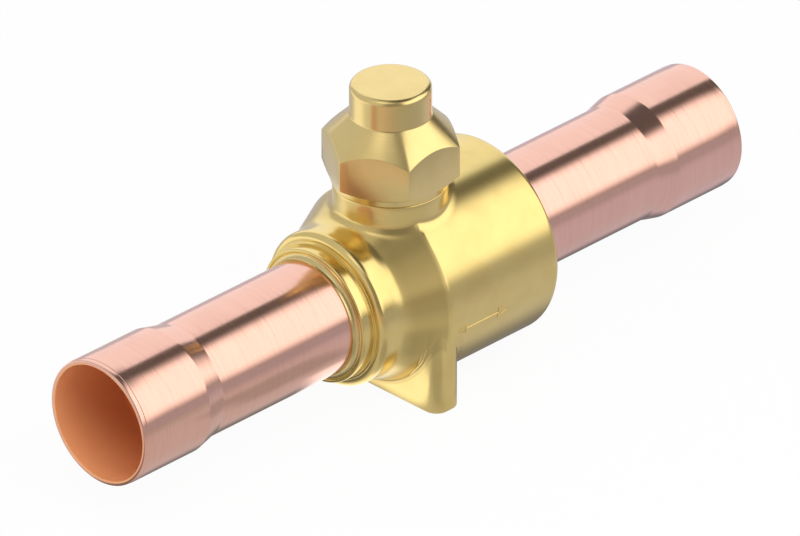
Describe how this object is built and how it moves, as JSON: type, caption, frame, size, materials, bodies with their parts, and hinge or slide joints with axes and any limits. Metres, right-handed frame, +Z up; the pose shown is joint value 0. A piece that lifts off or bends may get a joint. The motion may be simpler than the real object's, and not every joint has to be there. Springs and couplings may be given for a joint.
{
  "type": "shut-off ball valve",
  "caption": "Brass shut-off ball valve for refrigeration lines, with copper solder ends, hexagonal seal cap over the stem and a mounting foot.",
  "frame": {"origin": "centre of the mounting foot's underside, 4 mm ahead of the stem's axis", "axes": "+X along the pipe towards the wide end of the body, +Y across the pipe, +Z up along the stem"},
  "size_m": [0.1963, 0.049, 0.0767],
  "materials": {
    "brass_body": "satin, blasted forging",
    "brass_turned": "turned, satin",
    "copper": "brushed copper",
    "braze": "satin braze",
    "chrome_ball": "polished",
    "steel_stem": "turned steel",
    "steel_small": "plain steel",
    "ptfe": "matt, waxy",
    "seal_rubber": "matt black",
    "gasket": "matt"
  },
  "bodies": {
    "valve_body": {"body": "brass_body", "end_plug": "brass_turned", "front_tube": "copper", "rear_tube": "copper", "front_seat": "ptfe", "rear_seat": "ptfe", "front_seat_oring": "seal_rubber", "rear_seat_oring": "seal_rubber", "plug_oring": "seal_rubber", "thrust_washer": "ptfe", "stop_pin": "steel_small", "front_braze_ring": "braze", "rear_braze_ring": "braze"},
    "ball": {"ball": "chrome_ball"},
    "stem": {"stem": "steel_stem", "stem_oring_lower": "seal_rubber", "stem_oring_upper": "seal_rubber", "stop_plate": "steel_small", "retaining_ring": "steel_small"},
    "seal_cap": {"seal_cap": "brass_turned", "cap_gasket": "gasket"}
  },
  "joints": [
    {"name": "stem_turn", "type": "hinge", "parent": "valve_body", "child": "stem", "pos_m": [0.004, 0, 0.0246], "axis": [0, 0, 1], "range_deg": [-90, 0]},
    {"name": "ball_turn", "type": "hinge", "parent": "valve_body", "child": "ball", "pos_m": [0.004, 0, 0.0246], "axis": [0, 0, 1], "range_deg": [-90, 0]},
    {"name": "cap_lift", "type": "slide", "parent": "valve_body", "child": "seal_cap", "axis": [0, 0, 1], "range_m": [0, 0.03]}
  ],
  "couplings": [
    {"joint": "ball_turn", "follows": "stem_turn", "ratio": 1}
  ]
}
